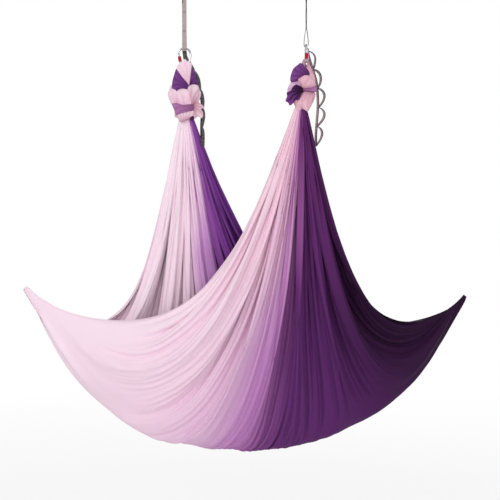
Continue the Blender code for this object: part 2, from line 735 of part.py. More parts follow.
def sling():
    """The cloth between the knots, as one thin shell with its main folds."""
    rows = [("near", t) for t in np.linspace(0, 1, CELLS_DOWN + 1)]
    rows += [("far", t) for t in np.linspace(1, 0, CELLS_DOWN + 1)[1:]]
    across = np.linspace(-1, 1, CELLS_ACROSS + 1)
    plain = np.array([[cloth_point(side, u, t) for u in across] for side, t in rows])
    normal = np.cross(np.gradient(plain, axis=1), np.gradient(plain, axis=0))
    normal /= np.linalg.norm(normal, axis=2)[..., None] + 1e-12
    height = np.array([[fold_height(u, t) for u in across] for _, t in rows])
    folded = plain + normal * height[..., None]
    for row, side in ((0, "near"), (-1, "far")):
        folded[row, :, 2] = ANCHORS[side]["crown"] - ANCHORS[side]["knot"] - 2 * GAP
    normal = np.cross(np.gradient(folded, axis=1), np.gradient(folded, axis=0))
    normal[[0, -1], :, 2] = 0
    normal /= np.linalg.norm(normal, axis=2)[..., None]
    skins = [folded + normal * CLOTH_THICK / 2 * way for way in (-1, 1)]
    down, wide = folded.shape[:2]
    points = np.concatenate([s.reshape(-1, 3) for s in skins])
    total = down * wide
    faces = []
    for i in range(down - 1):
        for j in range(wide - 1):
            a, b, c, d = i * wide + j, i * wide + j + 1, (i + 1) * wide + j + 1, (i + 1) * wide + j
            faces += [(a, b, c, d), (a + total, d + total, c + total, b + total)]
    rim = list(range(wide)) + [i * wide + wide - 1 for i in range(1, down)]
    rim += [(down - 1) * wide + j for j in range(wide - 2, -1, -1)]
    rim += [i * wide for i in range(down - 2, 0, -1)]
    for a, b in zip(rim, rim[1:] + rim[:1]):
        faces.append((a, b, b + total, a + total))
    return solid("sling", points, faces, "orchid_cloth", smooth=False)


def build():
    clear_scene()
    for side in ANCHORS:
        anchor = anchor_empty(side)
        axis = hinge_empty(side, anchor)
        ceiling_bracket(side)
        strap(side, anchor)
        strap_tail(side)
        carabiner_body(side, anchor)
        gate(side, axis)
        rivet(f"{side}_hinge_pin", 0, axis)
        latch_pin(side, axis)
        plunger(side, axis)
        spring(side, axis)
        screw_sleeve(side, axis)
        knot(side, guard_for(side))
    sling()


build()
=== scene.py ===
"""Looks of the aerial yoga hammock: cloth, knots, webbing, carabiners and ceiling brackets.

Metres in the part's frame: +Z up, +X right, +Y away, from the top of the near ceiling bracket.
"""

import math
from collections import namedtuple

import bpy
import numpy as np
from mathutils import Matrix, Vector


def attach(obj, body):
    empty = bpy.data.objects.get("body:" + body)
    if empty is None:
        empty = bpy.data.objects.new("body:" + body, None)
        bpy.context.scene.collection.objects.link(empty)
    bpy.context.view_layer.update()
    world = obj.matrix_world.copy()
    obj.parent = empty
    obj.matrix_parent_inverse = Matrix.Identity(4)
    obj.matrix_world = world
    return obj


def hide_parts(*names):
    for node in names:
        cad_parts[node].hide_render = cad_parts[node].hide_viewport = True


MM = 0.001

# The camera looks at the middle of the picture from 5 m away and 3 degrees above it. A pixel's size
# is the one on the plane through that middle
VIEW_CENTRE = np.array([-0.2626, 0.18, -1.38])
VIEW_DISTANCE = 5.0
VIEW_TILT = math.radians(3.0)
PIXEL = 0.0049
PICTURE = 500
SENSOR = 36.0

# The white room
WORLD_LIGHT = 0.57
FLOOR = -2.86
FLOOR_HALF = 12
FLOOR_GLOW = 0.74
FLOOR_FADE = (1.6, 4.5)
LAMPS = [
    # Name, place, watts and size
    ("key", (-3.2, -4.0, 1.0), 60, 2.0), ("fill", (0.4, -4.9, -0.6), 48, 1.5),
    ("side_fill", (2.6, -3.2, 0.2), 16, 2.0), ("back_fill", (0.8, 5.2, 0.4), 80, 2.0),
]

# Where each side's strap hangs, the height of its carabiner's crown and the turn of the carabiner
ANCHORS = {
    "near": {"at": (0.0, 0.0), "crown": -0.406, "turn": math.radians(90)},
    "far": {"at": (-0.592, 0.360), "crown": -0.369, "turn": 0.0},
}

# Webbing
WEB_WIDTH = 22 * MM
WEB_THICK = 2 * MM
STRAP_TOP = -0.145
STRAP_TACK_FIRST = 80.5 * MM
STRAP_TACK_PITCH = 96 * MM
STRAP_TACK_RISE = 2.2 * MM

TAIL_ROUTES = {
    # Listed from the foot of the taut strap, in millimetres from the crown: x right, y away, z up
    "near": [(0, 0, -19.9), (5.5, 0, -20.7), (10, 0, -23.6), (11.4, 0, -32), (13, 0, -52), (20, 0, -84),
             (29, 0, -113), (46, 0, -168), (52, 0, -208), (55, 1, -250), (56, 4, -290), (53, 12, -340),
             (50, 20, -390), (48, 24, -430), (50, 24, -476)],
    "far": [(0, 0, -19.9), (0, 6, -20.5), (0, 11, -23.2), (1, 12.8, -32), (6, 16, -54), (22, 26, -84),
            (40, 28, -108), (56, 28, -146), (70, 26, -190), (80, 23, -235), (87, 21, -285),
            (87, 16, -340), (85, 0, -395), (87, -16, -450), (94, -20, -500)],
}
TAIL_STATIONS = 150
TAIL_TURNS = {"near": (90, 118), "far": (0, 55)}
TAIL_TURNED_BY = 0.2
TAIL_FACING = (1.0, 0.5, 0.0)
TAIL_TACK_RISE = 1.2 * MM
POCKETS = 5
POCKETS_FROM = 7
POCKET_STATIONS = 28
POCKET_RISES = {"near": (25, 27, 34, 36, 31), "far": (7, 9, 8, 9, 8)}
POCKET_NARROWER = 0.3 * MM
POCKET_SHAPE = (0.75, 0.8)
WEB_CORNER = 0.35
WEB_SHARP = math.radians(50)

# Bar tacks: a zigzag of thread in two rows
TACK_POINTS = 23
TACK_NARROWER = 3 * MM
TACK_ROW = 2.4 * MM
TACK_ZIGZAG = 0.8 * MM
THREAD_RADIUS = 0.45 * MM
THREAD_SIDES = 5
ASKEW = (0.31, 0.52, 0.79)

# Cloth: the stretch that hangs between the knots, and where the picture shows its ends and points.
# An end has its pixel, how far away it is and half its width; a point has its pixel and its share of
# the way from the near knot to the far one
CLOTH_WIDTH = 2.6
CLOTH_LENGTH = 3.28
CLOTH_ENDS = {"near": ((301, 101), -0.18, 0.014), "far": ((186, 113), 0.18, 0.026)}
CLOTH_POINTS = {"left": ((24, 288), 0.545), "right": ((467, 297), 0.455)}
CLOTH_BOTTOM = (240, 440)
SELVEDGE_LONGER = 0.05
SEAT_SLANT = 0.06
HEM_WIDTH = 6 * MM

# Its drape
FIRST_GRID = (19, 15)
FIRST_UNEVEN = 0.01
FIRST_UNEVEN_WAYS = np.array([0.3, 1, 0.3])
FIRST_SEED = 3
LEVELS = [
    # Each level halves the cells of the one before: steps, gravity, resistance to gathering, unevenness
    (1500, 0.60, 0.090, 0), (1200, 0.60, 0.075, 2 * MM), (900, 0.40, 0.045, 2 * MM),
    (500, 0.25, 0.030, 2 * MM), (300, 0.12, 0.030, 2 * MM), (160, 0.08, 0.030, 1.5 * MM),
]
LEVEL_SEED = 9
SQUARE_LEVELS = 5
STEP_TIME = 0.012
SPEED_KEPT = 0.985
STRETCH = {"along": 1.0, "across": 0.9, "aslant": 0.15, "long": 0.02, "broad": 0.02}
GATHERED_END = 0.08
OPEN_WITHIN = 0.85
LEAST_RESISTANCE = 0.0004
LAYERS_APART = 12 * MM
LAYERS_OPEN = 0.15
TINY = 1e-9
END_WAVE = (0.02, 2.4)
POINT_SHARE = 72
POINT_ROUND = (0.004, 0.003)

# Its dye, which runs from 0 at the pale selvedge to 1 at the dark one: how far it is shifted at the
# front and the back (all over, and at most in one place), and how much paler the front's top is
FRONT_SHIFT = (0.035, 0.05)
FRONT_PLACE = (0.17, 0.1)
BACK_SHIFT = (0.12, 0.155)
BACK_FROM = 0.6
TOP_PALER = 0.5
TOP_RUN = 0.3
REAR_FADE = 0.12
ROSE = (0.97, 0.86, 0.87, 1)
ROSE_MOST = 1.3
# How strongly its fine folds show, by how far the cloth is gathered
GATHERED_FROM = 1.15
GATHERED_LEAST = 0.12


def srgb(red, green, blue):
    """A colour as it is seen, from 0 to 255, as the linear one that Blender takes."""
    return tuple(((c / 255 + 0.055) / 1.055) ** 2.4 if c > 10 else c / 255 / 12.92
                 for c in (red, green, blue))


def picture_point(px, py, away):
    """The points seen at pixels of the picture, on planes that lie `away` behind the view's centre."""
    px, py, away = (np.asarray(value, float)[..., None] for value in (px, py, away))
    ahead = np.array([0, math.cos(VIEW_TILT), -math.sin(VIEW_TILT)])
    up = np.array([0, math.sin(VIEW_TILT), math.cos(VIEW_TILT)])
    ray = ahead + (px - PICTURE / 2) * PIXEL / VIEW_DISTANCE * np.array([1, 0, 0])
    ray = ray + (PICTURE / 2 - py) * PIXEL / VIEW_DISTANCE * up
    eye = -VIEW_DISTANCE * ahead
    return VIEW_CENTRE + eye + (away - eye[1]) / ray[..., 1:2] * ray


def crown_point(side):
    """The top of the carabiner's crown."""
    return np.array([*ANCHORS[side]["at"], ANCHORS[side]["crown"]])


def unit(rows):
    """Each row at a length of 1."""
    return rows / np.linalg.norm(rows, axis=-1, keepdims=True)


def square_to(rows, along):
    """Each row turned square to the unit row beside it, at a length of 1."""
    return unit(rows - (rows * along).sum(1)[:, None] * along)


def length_along(path):
    """How far each of the path's points lies from its start."""
    return np.concatenate([[0], np.cumsum(np.linalg.norm(np.diff(path, axis=0), axis=1))])


def smooth_line(rows, count, closed=False, fineness=24):
    """Evenly spread rows on a Catmull-Rom curve through the given ones, whose first numbers are a place."""
    p = np.array(rows, float)
    p = np.vstack([p[-1], p, p[0], p[1]] if closed else [2 * p[0] - p[1], p, 2 * p[-1] - p[-2]])
    fine = []
    for a, b, c, d in zip(p, p[1:], p[2:], p[3:]):
        for t in np.linspace(0, 1, fineness, endpoint=False):
            fine.append(0.5 * (2 * b + (c - a) * t + (2 * a - 5 * b + 4 * c - d) * t ** 2
                               + (3 * b - a - 3 * c + d) * t ** 3))
    fine = np.array([*fine, p[-2]])
    run = length_along(fine[:, :3])
    at = np.linspace(0, run[-1], count, endpoint=not closed)
    return np.stack([np.interp(at, run, column) for column in fine.T], axis=1)


def grid_faces(down, wide, closed=False):
    """The faces between the rows of a grid, which go all the way round if it is closed."""
    i, j = np.meshgrid(np.arange(down - 1), np.arange(wide if closed else wide - 1), indexing="ij")
    a, b = (i * wide + j).ravel(), (i * wide + (j + 1) % wide).ravel()
    return np.stack([a, b, b + wide, a + wide], 1)


def mesh_object(name, points, faces, finish):
    """A smooth object of one material."""
    mesh = bpy.data.meshes.new(name)
    mesh.from_pydata(np.asarray(points, float).tolist(), [], [tuple(f) for f in faces])
    mesh.shade_smooth()
    mesh.materials.append(finish)
    made = bpy.data.objects.new(name, mesh)
    bpy.context.collection.objects.link(made)
    return made


def store(mesh, name, values):
    """Keeps one number for each vertex."""
    layer = mesh.attributes.new(name, "FLOAT", "POINT")
    layer.data.foreach_set("value", np.asarray(values, np.float32).ravel())


def store_uv(mesh, u, v):
    """A UV map from each vertex's place across and along, in metres."""
    layer = mesh.uv_layers.new(name="UVMap")
    corner = np.empty(len(mesh.loops), np.int32)
    mesh.loops.foreach_get("vertex_index", corner)
    places = np.stack([np.ravel(u)[corner], np.ravel(v)[corner]], 1)
    layer.data.foreach_set("uv", places.astype(np.float32).ravel())


# Nodes of materials

def new_material(name):
    """A material with its node tree and its shader."""
    made = bpy.data.materials.new(name)
    made.use_nodes = True
    tree = made.node_tree
    return made, tree, tree.nodes["Principled BSDF"]


def fill(target, inputs):
    """Sets or joins a node's inputs, given as (socket, value or output socket) pairs."""
    for socket, value in inputs:
        if isinstance(value, bpy.types.NodeSocket):
            target.id_data.links.new(value, target.inputs[socket])
        else:
            target.inputs[socket].default_value = value


def node(tree, kind, inputs=(), **settings):
    """Adds a node; inputs are (socket, value or output socket) pairs."""
    made = tree.nodes.new(kind)
    for key, value in settings.items():
        setattr(made, key, value)
    fill(made, inputs)
    return made


def ramp(tree, value, stops):
    """A colour by a value, from (place, colour) stops."""
    made = node(tree, "ShaderNodeValToRGB", [("Fac", value)])
    elements = made.color_ramp.elements
    while len(elements) < len(stops):
        elements.new(0.5)
    for element, (place, colour) in zip(elements, stops):
        element.position = place
        element.color = (*srgb(*colour), 1)
    return made.outputs["Color"]


def mixed(tree, share, first, second, how="MIX"):
    """A mix of two colours."""
    return node(tree, "ShaderNodeMix", [(0, share), (6, first), (7, second)],
                data_type="RGBA", blend_type=how).outputs[2]


def times(tree, first, second):
    """The product of two values."""
    return node(tree, "ShaderNodeMath", [(0, first), (1, second)], operation="MULTIPLY").outputs["Value"]


def spread(tree, value, low, high, given=(0.0, 1.0)):
    """A value moved from the given range to the one from low to high."""
    return node(tree, "ShaderNodeMapRange", [("Value", value), ("From Min", given[0]), ("From Max", given[1]),
                                             ("To Min", low), ("To Max", high)]).outputs["Result"]


def place_on(tree, kind):
    """Where on the object a point is: "Object" for its place in metres, "UV" for across and along."""
    return node(tree, "ShaderNodeTexCoord").outputs[kind]


def stretched(tree, spot, scale):
    """A place with each of its axes scaled, for a pattern drawn out along one of them."""
    return node(tree, "ShaderNodeMapping", [("Vector", spot), ("Scale", scale)]).outputs["Vector"]


def noise(tree, spot, scale, detail):
    made = node(tree, "ShaderNodeTexNoise", [("Vector", spot), ("Scale", scale), ("Detail", detail)])
    return made.outputs["Fac"]


def bands(tree, spot, scale, distortion, axis):
    return node(tree, "ShaderNodeTexWave", [("Vector", spot), ("Scale", scale), ("Distortion", distortion)],
                wave_type="BANDS", bands_direction=axis).outputs["Fac"]


def stored(tree, name, output="Fac"):
    """What the mesh keeps under this name for each point."""
    return node(tree, "ShaderNodeAttribute", attribute_name=name).outputs[output]


def bumped(tree, height, distance, strength=1.0, over=None):
    """A surface with this height, over another bumped one if there is one."""
    inputs = [("Height", height), ("Distance", distance), ("Strength", strength)]
    if over:
        inputs.append(("Normal", over))
    return node(tree, "ShaderNodeBump", inputs).outputs["Normal"]


def toned(tree, colour, value):
    """A colour made darker or lighter by a value around 1."""
    return node(tree, "ShaderNodeHueSaturation", [("Color", colour), ("Value", value)]).outputs["Color"]


# The cloth's drape: points joined by threads, on a grid that is refined level by level

def pull_pairs(points, weight, first, second, rest, stretch, press):
    """Moves pairs of points towards their distance at rest; press is how far they resist nearing."""
    a, b = points[first], points[second]
    way = b - a
    length = np.sqrt((way * way).sum(-1, keepdims=True)) + TINY
    wa, wb = weight[first][..., None], weight[second][..., None]
    share = (length - rest) / (length * (wa + wb + TINY))
    share *= np.where(length > rest, stretch, stretch * press)
    points[first] = a + wa * share * way
    points[second] = b - wb * share * way


def cut_to(part, count, size):
    """The slice, ended after count of its places on an axis of this size."""
    start, stop, step = part.indices(size)
    return slice(start, min(stop, start + (count - 1) * step + 1), step)


def thread_families(down, wide):
    """Threads along, across, aslant and over two cells, in groups that share no point."""
    every = slice(None)
    found = []
    for k in (0, 1):
        upper, lower = slice(k, down - 1, 2), slice(k + 1, down, 2)
        found.append(("along", (upper, every), (lower, every)))
        found.append(("across", (every, slice(k, wide - 1, 2)), (every, slice(k + 1, wide, 2))))
        found.append(("aslant", (upper, slice(0, wide - 1)), (lower, slice(1, wide))))
        found.append(("aslant", (upper, slice(1, wide)), (lower, slice(0, wide - 1))))
    for k in range(4):
        found.append(("long", (slice(k, down - 2, 4), every), (slice(k + 2, down, 4), every)))
        found.append(("broad", (every, slice(k, wide - 2, 4)), (every, slice(k + 2, wide, 4))))
    shape = np.zeros((down, wide))
    cut = []
    for kind, first, second in found:
        rows = min(shape[first].shape[0], shape[second].shape[0])
        columns = min(shape[first].shape[1], shape[second].shape[1])
        cut.append((kind, *[(cut_to(part[0], rows, down), cut_to(part[1], columns, wide))
                            for part in (first, second)]))
    return cut


def relax(points, weight, steps, gravity, press):
    """Lets the cloth fall and settle. Its front stays before its back, on either side of the seat."""
    down, wide = weight.shape
    cell_down, cell_wide = CLOTH_LENGTH / (down - 1), CLOTH_WIDTH / (wide - 1)
    u = np.linspace(-1, 1, wide)
    longer = 1 + SELVEDGE_LONGER * u * u
    rest = {"along": (cell_down * longer)[None, :, None], "across": cell_wide,
            "aslant": math.hypot(cell_down, cell_wide), "long": 2 * cell_down, "broad": 2 * cell_wide}
    run = np.linspace(0, 1, down)
    inner = np.clip((2 * np.minimum(run, 1 - run) - GATHERED_END) / OPEN_WITHIN, 0, 1)
    resistance = (press * inner * inner * (3 - 2 * inner))[:, None, None] + LEAST_RESISTANCE
    middle = (0.5 - SEAT_SLANT * u) * (down - 1)
    off_middle = (np.arange(down)[:, None] - middle[None, :]) * cell_down
    apart = np.minimum(LAYERS_APART, LAYERS_OPEN * np.abs(off_middle))
    lowest = np.where(off_middle > 0, apart, -np.inf)
    highest = np.where(off_middle < 0, -apart, np.inf)
    families = thread_families(down, wide)
    speed = np.zeros_like(points)
    free = (weight > 0)[..., None]
    for _ in range(steps):
        speed[..., 2] -= gravity * STEP_TIME
        speed *= SPEED_KEPT
        speed *= free
        before = points.copy()
        points += speed * STEP_TIME
        for kind, first, second in families:
            resist = resistance[first[0]] if kind in ("across", "aslant") else 1.0
            pull_pairs(points, weight, first, second, rest[kind], STRETCH[kind], resist)
        points[..., 1] = np.clip(points[..., 1], lowest, highest)
        speed = (points - before) / STEP_TIME
    return points


def refined(points, also_down):
    """The grid with new points halfway across its cells, and halfway down them too if asked."""
    down, wide, _ = points.shape
    fine = np.empty((down, 2 * wide - 1, 3))
    fine[:, ::2] = points
    fine[:, 1::2] = (points[:, 1:] + points[:, :-1]) / 2
    if not also_down:
        return fine
    tall = np.empty((2 * down - 1, 2 * wide - 1, 3))
    tall[::2] = fine
    tall[1::2] = (fine[1:] + fine[:-1]) / 2
    return tall


def hold_cloth(points):
    """Holds both gathered ends and both points of the cloth, and gives each place its weight."""
    down, wide, _ = points.shape
    weight = np.ones((down, wide))
    u = np.linspace(-1, 1, wide)
    depth, turn = END_WAVE
    for row, side in ((0, "near"), (down - 1, "far")):
        pixel, away, half = CLOTH_ENDS[side]
        points[row] = picture_point(*pixel, away) - VIEW_CENTRE
        points[row, :, 0] += half * u
        points[row, :, 1] += depth * np.cos(np.arange(wide) * turn)
        weight[row] = 0
    reach = (down - 1) // POINT_SHARE
    across, up = POINT_ROUND
    for column, side, inward in ((0, "left", 1), (wide - 1, "right", -1)):
        pixel, share = CLOTH_POINTS[side]
        place = picture_point(*pixel, 0.0) - VIEW_CENTRE
        row = int(round(share * (down - 1)))
        for k in range(-reach, reach + 1):
            points[row + k, column] = place + np.array([inward * across * abs(k), 0, -up * k])
            weight[row + k, column] = 0
    return weight


def first_cloth():
    """A plain cloth over a straight bottom line, slightly uneven so that its folds can form."""
    down, wide = FIRST_GRID
    v = np.linspace(0, 1, down)[:, None]
    u = np.linspace(-1, 1, wide)[None, :]
    near, far = (picture_point(*pixel, away) - VIEW_CENTRE for pixel, away, _ in CLOTH_ENDS.values())
    left, right = (picture_point(*pixel, 0.0) - VIEW_CENTRE for pixel, _ in CLOTH_POINTS.values())
    share = (u + 1) / 2
    x = left[0] * (1 - share) + right[0] * share
    z = left[2] * (1 - share) + right[2] * share
    lowest = (picture_point(*CLOTH_BOTTOM, 0.0) - VIEW_CENTRE)[2]
    z = z - (z.mean() - lowest) * (1 - u ** 2)
    bottom = np.stack(np.broadcast_arrays(x, 0 * v, z), -1)
    middle = 0.5 - SEAT_SLANT * u
    run = np.where(v < middle, v / middle, (1 - v) / (1 - middle))[..., None]
    knot = np.where((v < middle)[..., None], near, far)
    points = knot * (1 - run) + bottom * run
    uneven = np.random.default_rng(FIRST_SEED).normal(0, FIRST_UNEVEN, points.shape)
    return points + uneven * FIRST_UNEVEN_WAYS


def draped_cloth():
    """The settled cloth, in the part's frame, as rows from the near knot to the far one."""
    points = first_cloth()
    levels = LEVELS
    for k, (steps, gravity, press, uneven) in enumerate(levels):
        if k:
            points = refined(points, k < SQUARE_LEVELS)
            points += np.random.default_rng(LEVEL_SEED + k).normal(0, uneven, points.shape)
        weight = hold_cloth(points)
        points = relax(points, weight, steps, gravity, press)
    return points + VIEW_CENTRE


def cloth_colour(tree):
    """The dyed colours from the pale selvedge to the dark one, by the dye value of each point."""
    dye = stored(tree, "dye")
    front = ramp(tree, dye, [
        (0.00, (249, 224, 238)), (0.20, (243, 212, 230)), (0.33, (226, 188, 216)), (0.41, (190, 134, 190)),
        (0.47, (152, 90, 155)), (0.53, (100, 46, 112)), (0.68, (86, 36, 97)), (0.84, (50, 16, 56)),
        (1.00, (35, 10, 39)),
    ])
    back = ramp(tree, dye, [
        (0.00, (250, 228, 240)), (0.30, (249, 222, 237)), (0.39, (238, 204, 230)), (0.43, (210, 158, 214)),
        (0.50, (152, 86, 166)), (0.66, (124, 62, 146)), (0.80, (106, 50, 132)), (0.88, (92, 38, 126)),
        (1.00, (66, 22, 90)),
    ])
    dyed = mixed(tree, stored(tree, "rear"), front, back)
    return mixed(tree, stored(tree, "rose"), dyed, ROSE, "MULTIPLY")


def knot_colour(tree):
    """The colour of each point of a knot, with the shade painted into it."""
    return stored(tree, "shaded_tint", "Color")


def tricot(name, colour_from):
    """Matt nylon tricot with a fine knit; colour_from adds the nodes of its colour."""
    made, tree, shader = new_material(name)
    spot = place_on(tree, "UV")
    uneven = noise(tree, spot, scale=1.6, detail=3.0)
    lines = noise(tree, stretched(tree, spot, (26.0, 1.3, 1.0)), scale=1.0, detail=4.0)
    fold = bumped(tree, times(tree, lines, stored(tree, "gathered")), distance=12 * MM, strength=0.9)
    hem = bumped(tree, stored(tree, "hem"), distance=1 * MM, over=fold)
    loops = bands(tree, spot, scale=260.0, distortion=0.6, axis="X")
    courses = bands(tree, spot, scale=180.0, distortion=0.6, axis="Y")
    fill(shader, [
        ("Base Color", toned(tree, colour_from(tree), spread(tree, uneven, low=0.95, high=1.05))),
        ("Normal", bumped(tree, times(tree, loops, courses), distance=0.2 * MM, strength=0.35, over=hem)),
        ("Roughness", spread(tree, uneven, low=0.62, high=0.78)),
        ("Sheen Weight", 0.04), ("Sheen Roughness", 0.4), ("Specular IOR Level", 0.12),
    ])
    return made


def add_cloth(finish):
    """The sling between the knots."""
    points = draped_cloth()
    down, wide, _ = points.shape
    cloth = mesh_object("sling_cloth", points.reshape(-1, 3), grid_faces(down, wide), finish)
    u, v = np.meshgrid(np.linspace(0, 1, wide), np.linspace(0, 1, down))
    rear = np.clip((v - 0.5) / REAR_FADE, 0, 1)
    back_run = np.clip(2 * v - 1, 0, 1)
    front = FRONT_SHIFT[0] + FRONT_SHIFT[1] * np.exp(-((v - FRONT_PLACE[0]) / FRONT_PLACE[1]) ** 2)
    back = BACK_SHIFT[0] + BACK_SHIFT[1] * np.clip((back_run - BACK_FROM) / (1 - BACK_FROM), 0, 1)
    paler = np.clip(1 - v / TOP_RUN, 0, 1) * TOP_PALER * np.clip(u - 0.5, 0, 1)
    store(cloth.data, "dye", u - front * (1 - rear) - back * rear - paler)
    store(cloth.data, "rose", np.clip(ROSE_MOST * (1 - v / TOP_RUN), 0, 1))
    store(cloth.data, "rear", rear)
    store(cloth.data, "hem", np.clip(2 - np.minimum(u, 1 - u) * CLOTH_WIDTH / HEM_WIDTH, 0, 1))
    width = np.linalg.norm(np.gradient(points, axis=1), axis=2) / (CLOTH_WIDTH / (wide - 1))
    store(cloth.data, "gathered", np.clip(GATHERED_FROM - width, GATHERED_LEAST, 1))
    store_uv(cloth.data, u * CLOTH_WIDTH, v * CLOTH_LENGTH)
    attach(cloth, "hammock")
    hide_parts("sling")
    return cloth


# The knots. A puff is a stretch of gathered cloth: its lit colour and a darker one painted as shade in its
# creases and towards the pixel that they run to, how far its middle stands towards the camera and how thick
# it is either way in millimetres, the pixel that its creases run to with their count and depth in
# millimetres, and its outline in pixels of the picture

Puff = namedtuple("Puff", "name light dark towards thick ends_at count depth outline")

# Colours of the knots' cloth; each _SHADE one is a darker copy, painted as shade in creases and deep in the
# knot
PINK = (250, 224, 236)
PINK_SHADE = (234, 192, 212)
BLUSH = (240, 194, 208)
BLUSH_SHADE = (206, 154, 172)
LILAC = (226, 192, 220)
LILAC_SHADE = (176, 128, 172)
MAUVE = (180, 122, 176)
MAUVE_SHADE = (140, 88, 128)
GRAPE = (130, 70, 148)
GRAPE_SHADE = (76, 32, 84)
PLUM_SHADE = (42, 14, 48)

KNOT_PUFFS = {
    "near": [
        Puff("strip", BLUSH, BLUSH_SHADE, 2, 12, (306, 60), 4, 2, [
            (302.4, 61.0), (308.2, 60.8), (311, 66.5), (314.6, 76), (315, 83), (308, 82), (302, 74),
            (302.6, 66)]),
        Puff("leaf", GRAPE, GRAPE_SHADE, 12, 24, (311, 79), 5, 4, [
            (300.9, 62.9), (305.6, 67), (309.6, 72.8), (308.3, 76.5), (304.4, 79), (297.8, 81.6),
            (293.3, 82.4), (290.6, 81.6), (290.4, 76.7), (293.2, 68.9), (297.8, 64.8)]),
        Puff("crescent", LILAC, LILAC_SHADE, 10, 20, (303, 92), 4, 2, [
            (287.4, 92), (288.6, 86), (292, 82), (296.7, 80.6), (300.8, 82.6), (303.8, 87.5), (304.6, 92),
            (299, 95), (291, 95.5)]),
        Puff("upper", BLUSH, BLUSH_SHADE, 14, 30, (303, 92), 3, 3, [
            (297.4, 78.6), (300.6, 75.8), (304.4, 74.4), (310, 75.9), (315, 81.8), (316, 86.2), (312.4, 89.4),
            (305.6, 90.2), (300.4, 86)]),
        Puff("band", MAUVE, MAUVE_SHADE, 16, 32, (300, 89), 2, 2, [
            (303, 88.6), (310, 87.2), (315.8, 85.6), (316.9, 88.6), (315.6, 92.2), (310, 91.4), (303.4, 91)]),
        Puff("egg", BLUSH, BLUSH_SHADE, 8, 34, (310, 86), 5, 2.5, [
            (303.6, 90.2), (309.4, 90.6), (315.2, 93.2), (314.8, 98), (312.6, 103.3), (310.2, 107.8),
            (307.6, 111.4), (304.2, 109.8), (299.8, 106.6), (297, 104.4), (296.4, 101.4), (298.6, 97.6),
            (301.2, 93.6)]),
        Puff("bunch", (124, 62, 142), PLUM_SHADE, 26, 18, (303, 88), 8, 10, [
            (296.7, 84.6), (301.7, 87.2), (303.9, 91.3), (300.9, 94.2), (300.2, 99.6), (295.8, 100.2),
            (293, 103.4), (289.8, 105.6), (288, 102.6), (285.4, 100.9), (287, 96.4), (286.8, 92.6),
            (290.8, 90.4), (293, 86.4)]),
    ],
    "far": [
        Puff("strip", PINK, PINK_SHADE, 18, 9, (188.5, 86), 4, 2, [
            (182.4, 60.6), (185.2, 59), (187.4, 61.4), (191.6, 63.6), (191.2, 70), (190.4, 77), (189, 85),
            (186.4, 82), (181, 76), (177.2, 70), (176.8, 66.6), (180, 63)]),
        Puff("patch", GRAPE, (92, 44, 108), 11, 20, (191, 88), 6, 4, [
            (176.4, 68.8), (179.4, 72.2), (182.8, 76.7), (188.6, 84), (188.6, 89), (186.7, 92), (180, 92),
            (174, 92), (171.9, 89.6), (172.2, 82.2), (174, 75)]),
        Puff("small_patch", (112, 62, 132), GRAPE_SHADE, 8, 16, (188, 86), 4, 3, [
            (190.2, 75.6), (195.4, 77.6), (198, 84), (198.6, 88), (193.3, 88), (189, 88), (188.8, 81)]),
        Puff("left", PINK, PINK_SHADE, 10, 26, (176, 106), 3, 3, [
            (170.6, 88.6), (174.6, 88.4), (177.4, 91.6), (177.8, 98), (177.6, 104), (174.4, 106),
            (171.6, 104.4), (169, 98.9), (168, 93.1)]),
        Puff("middle", PINK, PINK_SHADE, 18, 28, (184, 108), 4, 3, [
            (176.6, 91.4), (181.1, 88.6), (187.2, 89.4), (192, 94), (193, 100), (191, 106), (184.4, 107),
            (178, 106), (176.6, 98)]),
        Puff("right", PINK, BLUSH_SHADE, 20, 27, (190.5, 106), 3, 3, [
            (187.4, 90.4), (188.9, 86), (193.3, 84.4), (198.2, 85.8), (199.5, 91.1), (198.7, 96.9),
            (195, 101), (191.7, 105), (189.4, 98)]),
        Puff("flap", PINK, BLUSH_SHADE, 8, 11, (192, 106), 5, 4, [
            (192.4, 102), (196.7, 99.4), (199.2, 102.4), (204.4, 107.4), (201.2, 109), (203.1, 113),
            (202, 118.2), (198, 116.4), (193.6, 119.6), (192.6, 112.2)]),
        Puff("low", PINK, BLUSH_SHADE, 14, 30, (186, 128), 6, 2, [
            (176.2, 113), (182, 111), (189, 110), (193.2, 110.4), (194.4, 116.5), (190, 118.6),
            (184.4, 121.4), (180, 121.8), (178, 118.3)]),
        Puff("band", MAUVE, MAUVE_SHADE, 17, 31, (199, 103), 4, 3, [
            (171.9, 103.6), (177.8, 102.8), (184.4, 103.7), (191.7, 103.2), (193.7, 106.7), (192.6, 111.4),
            (186.7, 113.8), (181.1, 115.4), (176.3, 115.4), (173.9, 109.4)]),
        # Painted shade: a small dark puff where the knot's hollow lies in shadow
        Puff("hollow", (84, 40, 80), PLUM_SHADE, 30, 8, (191, 114), 2, 2, [
            (189.8, 116.6), (193.1, 115.8), (194, 118.7), (192.4, 121), (190.6, 119.4)]),
    ],
}
KNOT_BACKS = {
    # Which puffs show again on the far side, mirrored across this column of the picture
    "near": (303.0, ["leaf", "upper", "band", "egg"]),
    "far": (184.5, ["patch", "left", "middle", "right", "band", "low"]),
}
PUFF_SIDES = 96
PUFF_RINGS = 16
PUFF_FULLNESS = 0.8
PUFF_SEED = 40
# Painted shade: how far a puff darkens towards the pixel that its creases run to, and in its creases
PUFF_END_SHADE = 1.15
PUFF_CREASE_SHADE = 0.55
CREASE_SHARPNESS = 0.55
CREASE_FADE = 0.5
CREASE_SPAN = 1.6
# The creases wander in two waves: height, turns outwards and turns round
SLOW_WAVE = (0.35, 0.45)
FAST_WAVE = (0.2, 0.9, 5)
